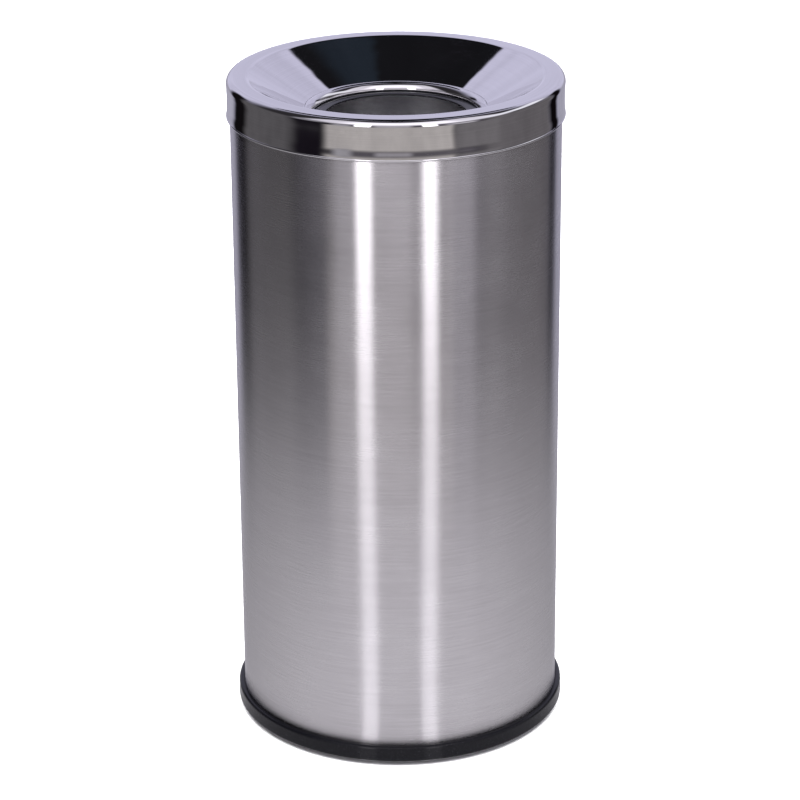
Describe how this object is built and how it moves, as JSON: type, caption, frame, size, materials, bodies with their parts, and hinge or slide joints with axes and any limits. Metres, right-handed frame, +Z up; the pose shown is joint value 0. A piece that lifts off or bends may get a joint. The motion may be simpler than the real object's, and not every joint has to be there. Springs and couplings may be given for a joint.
{
  "type": "litter bin",
  "caption": "Round open-top litter bin: brushed steel tube on a plastic edge ring, polished dished lid with a round mouth, and a lift-out liner with drop handles.",
  "frame": {"origin": "on the floor under the middle of the bin", "axes": "+Z up the bin's axis, -Y to the front, +X to the right"},
  "size_m": [0.3068, 0.3068, 0.61],
  "materials": {
    "brushed_steel": "brushed round the tube, satin",
    "polished_steel": "mirror polished stainless steel",
    "liner_steel": "plain cold-rolled sheet, satin",
    "galvanised_steel": "dull zinc",
    "bright_wire": "bright drawn wire",
    "black_plastic": "glossy black moulded plastic",
    "rubber": "matte black"
  },
  "bodies": {
    "body": {"body_shell": "brushed_steel", "body_top_hoop": "galvanised_steel", "body_seam_strip": "galvanised_steel", "base_plate": "galvanised_steel", "base_ring": "black_plastic", "liner_rest_pad_1": "rubber", "liner_rest_pad_2": "rubber", "liner_rest_pad_3": "rubber"},
    "liner": {"liner_wall": "liner_steel", "liner_rim_wire": "bright_wire", "liner_base": "liner_steel", "handle_bracket_right": "galvanised_steel", "bracket_rivet_right_front": "bright_wire", "bracket_rivet_right_rear": "bright_wire", "handle_bracket_left": "galvanised_steel", "bracket_rivet_left_front": "bright_wire", "bracket_rivet_left_rear": "bright_wire"},
    "lid": {"lid_shell": "polished_steel", "lid_throat_ring": "black_plastic"},
    "handle_right": {"drop_handle_right": "bright_wire"},
    "handle_left": {"drop_handle_left": "bright_wire"}
  },
  "joints": [
    {"name": "liner_lift", "type": "slide", "parent": "body", "child": "liner", "axis": [0, 0, 1], "range_m": [0, 0.62]},
    {"name": "lid_lift", "type": "slide", "parent": "liner", "child": "lid", "axis": [0, 0, 1], "range_m": [0, 0.15]},
    {"name": "handle_right_swing", "type": "hinge", "parent": "liner", "child": "handle_right", "pos_m": [0.1275, 0, 0.552], "axis": [0, 1, 0], "range_deg": [0, 180]},
    {"name": "handle_left_swing", "type": "hinge", "parent": "liner", "child": "handle_left", "pos_m": [-0.1275, 0, 0.552], "axis": [0, -1, 0], "range_deg": [0, 180]}
  ]
}
